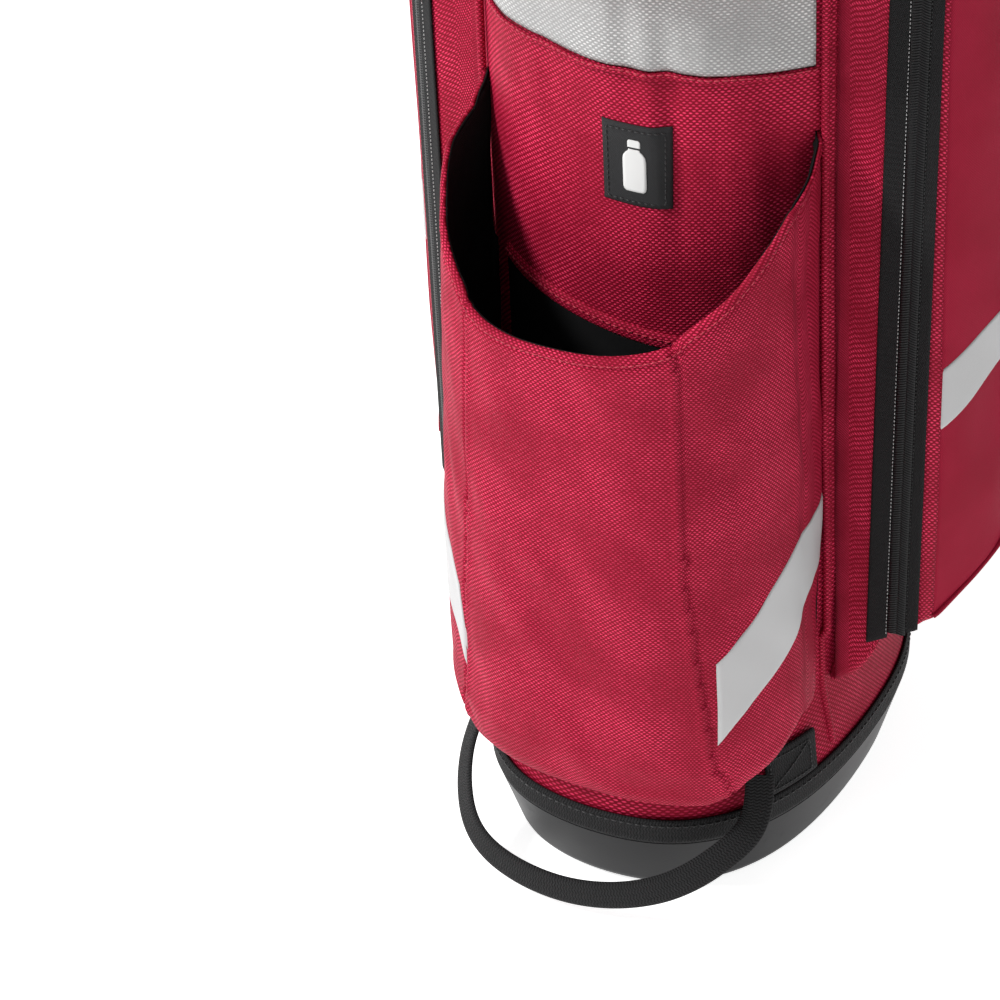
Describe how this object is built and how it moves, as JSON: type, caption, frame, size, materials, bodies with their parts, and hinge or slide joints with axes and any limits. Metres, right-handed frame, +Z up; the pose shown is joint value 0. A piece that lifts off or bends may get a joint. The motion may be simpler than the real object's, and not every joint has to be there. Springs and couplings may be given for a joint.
{
  "type": "golf stand bag",
  "caption": "Upright golf stand bag with moulded base, zipped side pockets, open bottle pocket, folding stand legs and padded shoulder straps.",
  "frame": {"origin": "middle of the base, on the floor", "axes": "+Z up along the bag, -Y towards the bottle pocket, +Y towards the stand legs, +X to the bag's left as seen from the legs"},
  "size_m": [0.3086, 0.305, 0.8843],
  "materials": {
    "boot": "satin",
    "black_webbing": "matt woven",
    "crimson_cloth": "matt dobby weave",
    "grey_cloth": "matt dobby weave",
    "black_lining": "matt",
    "padding": "matt air mesh",
    "zip_tape": "matt tape with nylon coil",
    "zip_metal": "satin",
    "moulded_plastic": "satin",
    "leg_tube": "anodised satin",
    "rubber": "matt",
    "steel": "satin"
  },
  "bodies": {
    "bag": {"actuator_foot_pin": "steel", "ball_pocket": "crimson_cloth", "ball_zip": "zip_tape", "base_binding_tape": "black_webbing", "base_boot": "boot", "body_lining": "black_lining", "body_shell": "crimson_cloth", "bottle_patch": "black_lining", "bottle_pocket": "crimson_cloth", "bottle_pocket_lining": "black_lining", "corner_piping_left": "crimson_cloth", "corner_piping_right": "crimson_cloth", "cuff_dividers": "moulded_plastic", "cuff_trim": "black_webbing", "front_handle": "moulded_plastic", "front_panel_seam": "crimson_cloth", "front_panel_upper": "grey_cloth", "gusset_stripe_left": "grey_cloth", "gusset_stripe_right": "grey_cloth", "hip_pad": "padding", "leg_pin_left": "steel", "leg_pin_right": "steel", "loop_anchor_left": "black_webbing", "loop_anchor_right": "black_webbing", "shoulder_pad_left": "padding", "shoulder_pad_right": "padding", "side_pocket_left": "crimson_cloth", "side_pocket_right": "crimson_cloth", "side_stripe_left": "grey_cloth", "side_stripe_right": "grey_cloth", "side_zip_left": "zip_tape", "side_zip_right": "zip_tape", "stand_bracket": "moulded_plastic", "strap_web_lower_left": "black_webbing", "strap_web_lower_right": "black_webbing", "strap_web_upper_left": "black_webbing", "strap_web_upper_right": "black_webbing", "top_cuff": "moulded_plastic", "towel_tab": "black_webbing", "well_sheet_cross": "black_lining", "well_sheet_front": "black_lining", "well_sheet_rear": "black_lining", "wire_guide": "moulded_plastic"},
    "foot": {"actuator_foot": "boot"},
    "wire": {"actuator_wire": "steel"},
    "leg_l": {"leg_left": "leg_tube", "leg_knuckle_left": "moulded_plastic", "leg_shoe_left": "rubber"},
    "leg_r": {"leg_right": "leg_tube", "leg_knuckle_right": "moulded_plastic", "leg_shoe_right": "rubber"},
    "slider_l": {"side_zip_slider_left": "zip_metal"},
    "pull_l": {"side_zip_pull_left": "zip_metal"},
    "slider_r": {"side_zip_slider_right": "zip_metal"},
    "pull_r": {"side_zip_pull_right": "zip_metal"},
    "slider_b": {"ball_zip_slider": "zip_metal"},
    "pull_b": {"ball_zip_pull": "zip_metal"},
    "towel": {"towel_ring": "steel"},
    "loop": {"base_loop": "black_webbing"}
  },
  "joints": [
    {"name": "leg_left_hinge", "type": "hinge", "parent": "bag", "child": "leg_l", "pos_m": [-0.025, 0.137, 0.792], "axis": [0.9063, 0.4226, 0], "range_deg": [0, 35], "stiffness_Nm_per_rad": 1.2, "springref_deg": -8.59},
    {"name": "leg_right_hinge", "type": "hinge", "parent": "bag", "child": "leg_r", "pos_m": [0.025, 0.137, 0.792], "axis": [0.9063, -0.4226, 0], "range_deg": [0, 35]},
    {"name": "wire_slide", "type": "slide", "parent": "bag", "child": "wire", "axis": [0, 0, 1], "range_m": [0, 0.012]},
    {"name": "foot_hinge", "type": "hinge", "parent": "bag", "child": "foot", "pos_m": [0, 0.014, 0.006], "axis": [1, 0, 0], "range_deg": [0, 9]},
    {"name": "zip_right_slide", "type": "slide", "parent": "bag", "child": "slider_r", "axis": [-0.0258, -0.0032, -0.9997], "range_m": [0, 0.43]},
    {"name": "zip_right_pull_hinge", "type": "hinge", "parent": "slider_r", "child": "pull_r", "pos_m": [0.12923, -0.03446, 0.588], "axis": [0.9923, 0.1236, 0], "range_deg": [-95, 0]},
    {"name": "zip_left_slide", "type": "slide", "parent": "bag", "child": "slider_l", "axis": [0.0098, 0, -1], "range_m": [0, 0.43]},
    {"name": "zip_left_pull_hinge", "type": "hinge", "parent": "slider_l", "child": "pull_l", "pos_m": [-0.13224, -0.02455, 0.588], "axis": [0.7705, -0.6374, 0], "range_deg": [-95, 0]},
    {"name": "zip_ball_slide", "type": "slide", "parent": "bag", "child": "slider_b", "axis": [0, 0, -1], "range_m": [0, 0.085]},
    {"name": "zip_ball_pull_hinge", "type": "hinge", "parent": "slider_b", "child": "pull_b", "pos_m": [0, -0.1309, 0.632], "axis": [1, 0, 0], "range_deg": [-95, 0]},
    {"name": "towel_ring_hinge", "type": "hinge", "parent": "bag", "child": "towel", "pos_m": [-0.05433, -0.0711, 0.7625], "axis": [0.8829, -0.4695, 0], "range_deg": [-90, 0]},
    {"name": "loop_hinge", "type": "hinge", "parent": "bag", "child": "loop", "pos_m": [0, -0.0845, 0.0615], "axis": [1, 0, 0], "range_deg": [-30, 0]}
  ],
  "couplings": [
    {"joint": "leg_right_hinge", "follows": "leg_left_hinge", "ratio": 1},
    {"joint": "wire_slide", "follows": "leg_left_hinge", "m_per_rad": 0.019},
    {"joint": "foot_hinge", "follows": "leg_left_hinge", "ratio": 0.257}
  ]
}
